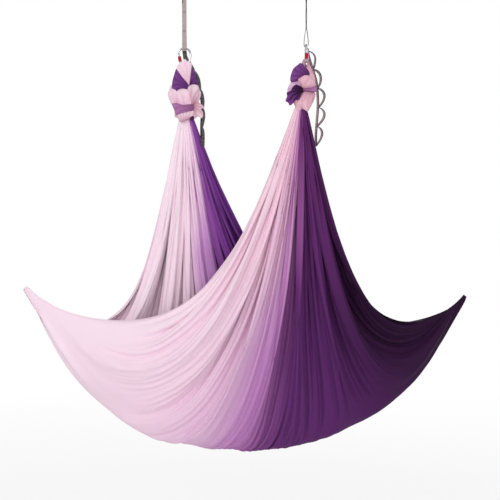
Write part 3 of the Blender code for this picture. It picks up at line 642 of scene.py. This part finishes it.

# The gathered cloth that each knot lays over its carabiner's lower bar, in a lit colour and a darker one
# painted as shade in its pleats
BIGHT_COLOURS = {"near": (BLUSH, BLUSH_SHADE), "far": (PINK, PINK_SHADE)}
BIGHT_LEG = [
    # Half of it, from inside the knot upwards, in millimetres: how far off the carabiner's plane, height
    # from the crown, half width, and how far it lies from the middle, away from the gate
    (0, -192, 12, 2), (5, -172, 15, 2), (11.5, -146, 16, 3), (14.5, -118, 13, 5), (13, -100, 9.5, 7.5),
    (9, -80, 8.5, 8.5),
]
BIGHT_TOP = (0, -71, 8.5, 8.5)
BIGHT_THICK = 8 * MM
BIGHT_PLEATS = 9
BIGHT_PLEAT_DEPTH = 0.22
# How much of the darker colour is painted as shade in the pleats' valleys
BIGHT_PLEAT_SHADE = 0.6
BIGHT_DRIFT = (0.6, 9)
BIGHT_SIDES = 72
BIGHT_SIDE_WIDE = 1.5 * MM
BIGHT_STEPS = 80
BIGHT_STEP_LONG = 5 * MM


def creases(pixels, ends_at, count, seed):
    """0 on a crease, 1 on the swell between two; the creases fan out from the pixel that they end at."""
    rng = np.random.default_rng(seed)
    off = pixels - np.array(ends_at)
    middle = off.reshape(-1, 2).mean(axis=0)
    away = np.hypot(off[..., 0], off[..., 1])
    turn = np.arctan2(off[..., 1], off[..., 0]) - math.atan2(middle[1], middle[0])
    turn = (turn + math.pi) % math.tau - math.pi
    span = np.ptp(np.clip(turn, -CREASE_SPAN, CREASE_SPAN)) + 1e-6
    height, outwards = SLOW_WAVE
    wander = height * np.sin(away * outwards + rng.uniform(0, 6))
    height, outwards, around = FAST_WAVE
    wander = wander + height * np.sin(away * outwards + turn * around)
    phase = math.pi * count * turn / span + wander + rng.uniform(0, 3)
    return np.abs(np.sin(phase)) ** CREASE_SHARPNESS, away / away.max()


def puff_skin(puff, away, seed):
    """The skin of one puff: its points from the front rim over its middle to the back, and their painted
    shade.
    """
    rim = smooth_line(puff.outline, PUFF_SIDES, closed=True, fineness=16)
    centre = rim.mean(axis=0)
    turns = np.linspace(0, math.pi, 2 * PUFF_RINGS + 1)[1:-1]
    rings, facing = np.sin(turns), np.cos(turns)
    pixels = centre + rings[:, None, None] * (rim - centre)
    swell, far_off = creases(pixels, puff.ends_at, puff.count, seed)
    bulge = np.sign(facing) * np.abs(facing) ** PUFF_FULLNESS * puff.thick
    sunk = np.sign(facing)[:, None] * (1 - swell) * puff.depth * np.abs(facing[:, None]) ** CREASE_FADE
    out = puff.towards + bulge[:, None] - sunk
    points = picture_point(pixels[..., 0], pixels[..., 1], away - out * MM)
    # Painted shade: darker near the pixel that the creases run to, and darker in each crease
    shade = np.clip(PUFF_END_SHADE * (1 - far_off) + PUFF_CREASE_SHADE * (1 - swell), 0, 1)
    return points, shade, pixels


def knot_puffs(side):
    """The puffs of one knot, with the ones on its back."""
    column, names = KNOT_BACKS[side]
    backs = [puff._replace(towards=-puff.towards, ends_at=(2 * column - puff.ends_at[0], puff.ends_at[1]),
                           outline=[(2 * column - x, y) for x, y in puff.outline])
             for puff in KNOT_PUFFS[side] if puff.name in names]
    return KNOT_PUFFS[side] + backs


def bight_skin(side):
    """The skin of the cloth that runs through the carabiner, in rings, with its painted shade in the pleats
    and its places.
    """
    turn = ANCHORS[side]["turn"]
    along_bar = np.array([math.cos(turn), math.sin(turn), 0])
    over_bar = np.array([-math.sin(turn), math.cos(turn), 0])
    rows = [(-off, *rest) for off, *rest in BIGHT_LEG] + [BIGHT_TOP] + BIGHT_LEG[::-1]
    line = smooth_line(rows, BIGHT_STEPS) * MM
    path = (crown_point(side) + line[:, :1] * over_bar + line[:, 1:2] * np.array([0, 0, 1])
            + line[:, 3:] * along_bar)
    out = np.cross(unit(np.gradient(path, axis=0)), along_bar)
    angle = np.linspace(0, math.tau, BIGHT_SIDES, endpoint=False)
    sway, reach = BIGHT_DRIFT
    drift = sway * np.sin(np.linspace(0, reach, BIGHT_STEPS))
    pleat = 0.5 + 0.5 * np.cos(BIGHT_PLEATS * angle[None, :] + drift[:, None])
    swell = 1 - BIGHT_PLEAT_DEPTH * pleat
    skin = (path[:, None] + (line[:, 2:3] * np.cos(angle) * swell)[..., None] * along_bar
            + (BIGHT_THICK * np.sin(angle) * swell)[..., None] * out[:, None])
    run = np.arange(BIGHT_STEPS)[:, None] * BIGHT_STEP_LONG
    around = np.arange(BIGHT_SIDES)[None, :] * BIGHT_SIDE_WIDE
    return skin, pleat * BIGHT_PLEAT_SHADE, np.stack(np.broadcast_arrays(around, run), axis=-1)


def shaded(light, dark, shade):
    """Colours from the lit one at a painted shade of 0 to the shaded one at 1."""
    shade = shade.reshape(-1, 1)
    return (np.array(srgb(*light)) * (1 - shade) + np.array(srgb(*dark)) * shade).tolist()


def with_poles(rings):
    """The rows of all rings, and after them the middle of the first ring and of the last."""
    return np.vstack([rings.reshape(-1, rings.shape[-1]), rings[0].mean(axis=0), rings[-1].mean(axis=0)])


def pole_faces(rings, sides):
    """The faces that close the first and the last ring, each round its pole."""
    pole, last = rings * sides, (rings - 1) * sides
    first_cap = [[j, pole, (j + 1) % sides] for j in range(sides)]
    return first_cap + [[last + (j + 1) % sides, pole + 1, last + j] for j in range(sides)]


def add_knot(side, finish):
    """The knot of one end, as one mesh of its puffs and the cloth over the carabiner's bar."""
    away = ANCHORS[side]["at"][1] - VIEW_CENTRE[1]
    points, faces, shaded_tints, spots = [], [], [], []
    for k, puff in enumerate(knot_puffs(side)):
        skin, shade, pixels = puff_skin(puff, away, PUFF_SEED + k)
        rings, sides, _ = skin.shape
        faces += (grid_faces(rings, sides, closed=True) + len(points)).tolist()
        faces += (np.array(pole_faces(rings, sides)) + len(points)).tolist()
        points += with_poles(skin).tolist()
        shaded_tints += shaded(puff.light, puff.dark, with_poles(shade[..., None]))
        spots += (with_poles(pixels) * PIXEL).tolist()
    skin, shade, places = bight_skin(side)
    faces += (grid_faces(BIGHT_STEPS, BIGHT_SIDES, closed=True) + len(points)).tolist()
    points += skin.reshape(-1, 3).tolist()
    shaded_tints += shaded(*BIGHT_COLOURS[side], shade)
    spots += places.reshape(-1, 2).tolist()
    knot = mesh_object(f"{side}_cloth_knot", points, faces, finish)
    # Each point keeps its colour with its painted shade
    shaded_tint = knot.data.color_attributes.new("shaded_tint", "FLOAT_COLOR", "POINT")
    colours = np.column_stack([shaded_tints, np.ones(len(shaded_tints))])
    shaded_tint.data.foreach_set("color", colours.astype(np.float32).ravel())
    spots = np.array(spots)
    store_uv(knot.data, spots[:, 0], spots[:, 1])
    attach(knot, "hammock")
    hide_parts(f"{side}_knot")
    return knot


# The webbing: the colours of its ribs' feet, sides and tops, with painted shade at the feet and a painted
# highlight on the tops

WEB_STOPS = (0.0, 0.45, 1.0)
# Painted sheen: the black webbing made pale, as where its face catches the light
SHEEN_WEB = ((158, 140, 142), (214, 196, 198), (236, 224, 224))
# Painted light: the black webbing made lighter on the strap's face turned to the key lamp
LIT_SIDE_WEB = ((36, 27, 30), (62, 50, 54), (100, 86, 90))
DARK_WEB = ((16, 8, 10), (36, 24, 27), (88, 70, 74))
STRAP_WEB = ((18, 10, 12), (38, 26, 28), (80, 64, 68))
DARK_EDGE = -6.5 * MM
WEB_EDGE_BLUR = 0.2 * MM


def webbing_material(name, spot_from, rib_axes, colours, other_colours, other_below=None):
    """Nylon webbing with ribs and a weft, whose other colours lie below a place on an axis or in spots; its
    pale colours are painted sheen and light.
    """
    made, tree, shader = new_material(name)
    spot = place_on(tree, spot_from)
    ribs = bands(tree, spot, scale=150.0, distortion=0.3, axis=rib_axes[0])
    weft = bands(tree, spot, scale=210.0, distortion=0.8, axis=rib_axes[1])
    weave = times(tree, ribs, weft)
    level = times(tree, weave, noise(tree, spot, scale=60.0, detail=5.0))
    if other_below:
        axis, limit = other_below
        place = node(tree, "ShaderNodeSeparateXYZ", [("Vector", spot)]).outputs[axis]
        share = spread(tree, place, low=1.0, high=0.0, given=(limit - WEB_EDGE_BLUR, limit + WEB_EDGE_BLUR))
    else:
        # Painted sheen: pale spots of highlight over the webbing
        spots = noise(tree, spot, scale=170.0, detail=3.0)
        share = spread(tree, spots, low=0.0, high=1.0, given=(0.46, 0.80))
    main, other = (ramp(tree, level, list(zip(WEB_STOPS, found))) for found in (colours, other_colours))
    fill(shader, [
        ("Base Color", mixed(tree, share, main, other)),
        ("Normal", bumped(tree, weave, distance=0.4 * MM, strength=0.8)),
        ("Roughness", 0.62), ("Sheen Weight", 0.1), ("Sheen Roughness", 0.35),
    ])
    return made


def thread_material(name, dull, bright):
    """Bonded polyester thread."""
    made, tree, shader = new_material(name)
    grain = node(tree, "ShaderNodeTexNoise", [("Scale", 900.0), ("Detail", 2.0)]).outputs["Fac"]
    fill(shader, [("Base Color", ramp(tree, grain, [(0.3, dull), (0.7, bright)])), ("Roughness", 0.55)])
    return made


def metal(name, dull, bright, roughness, grain, metallic=1.0):
    """Worn metal: clouded colour and roughness, and fine brushing with this grain along each axis."""
    made, tree, shader = new_material(name)
    spot = place_on(tree, "Object")
    cloud = noise(tree, spot, scale=130.0, detail=5.0)
    brushed = noise(tree, stretched(tree, spot, grain), scale=1.0, detail=3.0)
    fill(shader, [
        ("Base Color", ramp(tree, cloud, [(0.3, dull), (0.7, bright)])),
        ("Roughness", spread(tree, cloud, *roughness)),
        ("Normal", bumped(tree, brushed, distance=0.1 * MM, strength=0.25)),
        ("Metallic", metallic),
    ])
    return made


def zinc():
    """Bright zinc plating with its faint spangle."""
    made = metal("zinc_plating", dull=(158, 162, 166), bright=(196, 199, 202), roughness=(0.32, 0.5),
                 grain=(500.0, 500.0, 60.0))
    tree = made.node_tree
    base = tree.nodes["Principled BSDF"].inputs["Base Color"]
    flakes = node(tree, "ShaderNodeTexVoronoi", [("Vector", place_on(tree, "Object")), ("Scale", 260.0)])
    grey = node(tree, "ShaderNodeSeparateColor", [("Color", flakes.outputs["Color"])]).outputs["Red"]
    tree.links.new(toned(tree, base.links[0].from_socket, spread(tree, grey, low=0.9, high=1.1)), base)
    return made


def red_anodised():
    """Red anodised aluminium, knurled in diamonds."""
    made = metal("red_anodised", dull=(150, 2, 18), bright=(184, 5, 30), roughness=(0.4, 0.52),
                 grain=(300.0, 300.0, 900.0), metallic=0.0)
    tree = made.node_tree
    spot = place_on(tree, "Object")
    cuts = []
    for slope in (0.7, -0.7):
        turned = node(tree, "ShaderNodeMapping", [("Vector", spot), ("Rotation", (0, slope, 0))])
        cuts.append(bands(tree, turned.outputs["Vector"], scale=160.0, distortion=0.0, axis="Z"))
    knurl = bumped(tree, times(tree, *cuts), distance=0.4 * MM, strength=0.6)
    fill(tree.nodes["Principled BSDF"], [("Normal", knurl), ("Specular IOR Level", 0.3)])
    return made


def finish_hardware(pieces):
    """Gives every piece carried over from the CAD its material."""
    steel = metal("bare_steel", dull=(112, 114, 118), bright=(150, 152, 156), roughness=(0.25, 0.4),
                  grain=(700.0, 700.0, 700.0))
    polished = metal("polished_steel", dull=(150, 152, 156), bright=(178, 180, 184), roughness=(0.16, 0.28),
                     grain=(900.0, 900.0, 120.0))
    finishes = {
        "ceiling_bracket": zinc(), "screw_sleeve": red_anodised(), "carabiner_body": polished,
        "gate": polished, "hinge_pin": steel, "latch_pin": steel, "gate_spring": steel, "gate_plunger": steel,
    }
    x, y = ANCHORS["near"]["at"][0], ANCHORS["far"]["at"][1]
    # Painted light: the near strap's left face and the far strap's front face, turned to the lamps, are
    # lighter
    straps = {
        "near": webbing_material("near_strap_webbing", "Object", "YZ", STRAP_WEB, LIT_SIDE_WEB, ("X", x)),
        "far": webbing_material("far_strap_webbing", "Object", "XZ", STRAP_WEB, SHEEN_WEB, ("Y", y)),
    }
    for name, made in pieces.items():
        side, _, kind = name.partition("_")
        finish = straps[side] if kind == "strap" else finishes.get(kind)
        if finish:
            for slot in made.material_slots:
                slot.material = finish


def ribbon_skin(path, side_way, half, thick):
    """A band of webbing with rounded edges: its points, faces, and places across and along."""
    along = unit(np.gradient(path, axis=0))
    side_way = square_to(side_way, along)
    face_way = np.cross(along, side_way)
    flat, rise, cut = half - thick / 2, thick / 2, thick * WEB_CORNER
    section = [(flat, rise), (0, rise), (-flat, rise), (-flat - cut, cut), (-half, 0), (-flat - cut, -cut),
               (-flat, -rise), (0, -rise), (flat, -rise), (flat + cut, -cut), (half, 0), (flat + cut, cut)]
    rings = np.stack([path + a * side_way + b * face_way for a, b in section], axis=1)
    count = len(section)
    faces = grid_faces(len(path), count, closed=True).tolist()
    faces += [list(range(count)), list(range((len(path) - 1) * count, len(path) * count))]
    across = np.tile([a for a, _ in section], len(path))
    return rings.reshape(-1, 3), faces, across, np.repeat(length_along(path), count)


def add_ribbons(name, ribbons, finish):
    """One mesh of several bands of webbing, each with its path, side way and half width."""
    points, faces, across, along = [], [], [], []
    for path, side_way, half in ribbons:
        skin, found, u, v = ribbon_skin(path, side_way, half, WEB_THICK)
        faces += [[i + len(points) for i in f] for f in found]
        points += skin.tolist()
        across += u.tolist()
        along += v.tolist()
    made = mesh_object(name, points, faces, finish)
    made.data.set_sharp_from_angle(angle=WEB_SHARP)
    store_uv(made.data, across, along)
    return made


def tail_stations(side):
    """The tail's middle line, the direction of its width and the direction that its pockets bulge in."""
    path = smooth_line(np.array(TAIL_ROUTES[side], float) * MM, TAIL_STATIONS) + crown_point(side)
    share = np.clip(np.linspace(0, 1, TAIL_STATIONS) / TAIL_TURNED_BY, 0, 1)
    start, end = (math.radians(a) for a in TAIL_TURNS[side])
    angle = start + (end - start) * (3 * share ** 2 - 2 * share ** 3)
    along = unit(np.gradient(path, axis=0))
    side_way = square_to(np.stack([np.cos(angle), np.sin(angle), 0 * angle], axis=1), along)
    face = np.cross(along, side_way)
    face *= np.sign(face @ TAIL_FACING)[:, None]
    return path, side_way, face


def add_tail(side, finish, thread):
    """The loose end of the daisy chain: a spine, its sewn pockets and their bar tacks."""
    path, side_way, face = tail_stations(side)
    half = WEB_WIDTH / 2
    spine = add_ribbons(f"{side}_tail_spine", [(path, side_way, half)], finish)
    pockets = []
    for k, rise in enumerate(POCKET_RISES[side]):
        run = np.arange(POCKETS_FROM + k * POCKET_STATIONS, POCKETS_FROM + (k + 1) * POCKET_STATIONS + 1)
        swell = np.sin(np.pi * np.linspace(0, 1, len(run)) ** POCKET_SHAPE[0]) ** POCKET_SHAPE[1]
        lift = 0.5 * WEB_THICK + (rise * MM + WEB_THICK) * swell
        pockets.append((path[run] + face[run] * lift[:, None], side_way[run], half - POCKET_NARROWER))
    pockets = add_ribbons(f"{side}_tail_pockets", pockets, finish)
    sewn = [POCKETS_FROM + 1 + k * POCKET_STATIONS for k in range(POCKETS)]
    sewn.append(POCKETS_FROM + POCKETS * POCKET_STATIONS - 1)
    places = [(path[i], path[i + 1] - path[i], side_way[i]) for i in sewn]
    stitches = add_tacks(f"{side}_tail_tacks", places, thread, TAIL_TACK_RISE)
    for piece in (spine, pockets, stitches):
        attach(piece, "hammock")
    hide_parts(f"{side}_strap_tail")


def add_strap_tacks(side, thread):
    """The bar tacks of the taut strap, between its pockets."""
    turn = ANCHORS[side]["turn"]
    side_way = np.array([math.cos(turn), math.sin(turn), 0])
    heights = np.arange(ANCHORS[side]["crown"] + STRAP_TACK_FIRST, STRAP_TOP, STRAP_TACK_PITCH)
    places = [(np.array([*ANCHORS[side]["at"], height]), np.array([0, 0, 1.0]), side_way)
              for height in heights]
    tacks = add_tacks(f"{side}_strap_tacks", places, thread, STRAP_TACK_RISE)
    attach(tacks, "hammock")


def add_tacks(name, places, thread, rise):
    """Bar tacks: a dense zigzag of thread across the webbing, raised on both of its faces."""
    points, faces = [], []
    for middle, along, side_way in places:
        along = unit(along)
        face_way = np.cross(along, side_way)
        for front in (-1, 1):
            for row in (-1, 1):
                zigzag = []
                for i in range(TACK_POINTS):
                    across = (i / (TACK_POINTS - 1) - 0.5) * (WEB_WIDTH - TACK_NARROWER)
                    up = row * TACK_ROW + (TACK_ZIGZAG if i % 2 else -TACK_ZIGZAG)
                    zigzag.append(middle + side_way * across + along * up + face_way * front * rise)
                faces += (grid_faces(TACK_POINTS, THREAD_SIDES, closed=True) + len(points)).tolist()
                points += thread_skin(np.array(zigzag)).reshape(-1, 3).tolist()
    return mesh_object(name, points, faces, thread)


def thread_skin(path):
    """A round thread along a path, in rings."""
    along = unit(np.gradient(path, axis=0))
    first = unit(np.cross(along, ASKEW))
    second = np.cross(along, first)
    angles = np.linspace(0, math.tau, THREAD_SIDES, endpoint=False)
    skin = [path + THREAD_RADIUS * (math.cos(a) * first + math.sin(a) * second) for a in angles]
    return np.stack(skin, axis=1)


# The white room

def add_camera():
    camera = bpy.data.objects.new("camera", bpy.data.cameras.new("camera"))
    bpy.context.collection.objects.link(camera)
    back = np.array([0, -math.cos(VIEW_TILT), math.sin(VIEW_TILT)]) * VIEW_DISTANCE
    camera.location = VIEW_CENTRE + back
    camera.rotation_euler = (math.radians(90) - VIEW_TILT, 0, 0)
    camera.data.sensor_width = SENSOR
    camera.data.lens = SENSOR * VIEW_DISTANCE / (PICTURE * PIXEL)
    bpy.context.scene.camera = camera


def seen_directly(tree):
    """1 for the rays that show the background itself or its mirror image, 0 for the ones that light it."""
    rays = node(tree, "ShaderNodeLightPath").outputs
    return node(tree, "ShaderNodeMath", [(0, rays["Is Camera Ray"]), (1, rays["Is Glossy Ray"])],
                operation="MAXIMUM").outputs["Value"]


def add_floor():
    """A plain pale floor that keeps the hammock's shadow and fades into the white background."""
    made, tree, shader = new_material("floor")
    fill(shader, [("Base Color", (*srgb(244, 244, 244), 1)), ("Roughness", 0.9), ("Specular IOR Level", 0.1)])
    middle = (*VIEW_CENTRE[:2], FLOOR)
    off = node(tree, "ShaderNodeVectorMath", [(0, place_on(tree, "Object")), (1, middle)],
               operation="DISTANCE")
    fade = spread(tree, off.outputs["Value"], low=FLOOR_GLOW, high=1.0, given=FLOOR_FADE)
    white = node(tree, "ShaderNodeEmission", [("Color", (1, 1, 1, 1)), ("Strength", 1.0)])
    blend = node(tree, "ShaderNodeMixShader", [(0, times(tree, seen_directly(tree), fade)),
                                               (1, shader.outputs["BSDF"]), (2, white.outputs["Emission"])])
    fill(tree.nodes["Material Output"], [("Surface", blend.outputs["Shader"])])
    corners = [(x * FLOOR_HALF, y * FLOOR_HALF, FLOOR) for x, y in ((-1, -1), (1, -1), (1, 1), (-1, 1))]
    floor = mesh_object("floor", corners, [(0, 1, 2, 3)], made)


def add_world():
    """A white room: it lights the object softly, and is seen, and mirrored, as plain white."""
    world = bpy.data.worlds.new("studio")
    bpy.context.scene.world = world
    world.use_nodes = True
    tree = world.node_tree
    level = spread(tree, seen_directly(tree), low=WORLD_LIGHT, high=1.0)
    fill(tree.nodes["Background"], [("Color", (1, 1, 1, 1)), ("Strength", level)])


def add_lamp(name, place, power, size):
    lamp = bpy.data.objects.new(name, bpy.data.lights.new(name, "AREA"))
    bpy.context.collection.objects.link(lamp)
    lamp.data.energy = power
    lamp.data.size = size
    lamp.location = place
    lamp.rotation_euler = (Vector(VIEW_CENTRE) - Vector(place)).to_track_quat("-Z", "Y").to_euler()


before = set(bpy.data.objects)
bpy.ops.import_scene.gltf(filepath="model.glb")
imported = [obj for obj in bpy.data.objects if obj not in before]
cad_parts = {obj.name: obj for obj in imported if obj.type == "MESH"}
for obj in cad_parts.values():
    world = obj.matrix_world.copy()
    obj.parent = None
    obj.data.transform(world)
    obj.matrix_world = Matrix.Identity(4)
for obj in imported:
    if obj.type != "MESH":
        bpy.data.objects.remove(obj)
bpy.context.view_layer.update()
bpy.context.scene.view_settings.view_transform = "Standard"
add_camera()
add_world()
for lamp in LAMPS:
    add_lamp(*lamp)
add_floor()
finish_hardware(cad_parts)
# Painted sheen: the near tail pale with a dark stripe along one edge, the far tail black with pale spots of
# sheen
tail_webbing = {
    "near": webbing_material("sheen_painted_tail_webbing", "UV", "XY", SHEEN_WEB, DARK_WEB, ("X", DARK_EDGE)),
    "far": webbing_material("sheen_spotted_tail_webbing", "UV", "XY", DARK_WEB, SHEEN_WEB),
}
pale_thread = thread_material("pale_thread", dull=(120, 108, 112), bright=(186, 174, 178))
dark_thread = thread_material("dark_thread", dull=(66, 40, 42), bright=(104, 72, 74))
for side in ANCHORS:
    add_strap_tacks(side, dark_thread)
for side in ANCHORS:
    add_tail(side, tail_webbing[side], pale_thread)
knotted = tricot("knotted_tricot", knot_colour)
knots = [add_knot(side, knotted) for side in ANCHORS]
cloth = add_cloth(tricot("dyed_tricot", cloth_colour))
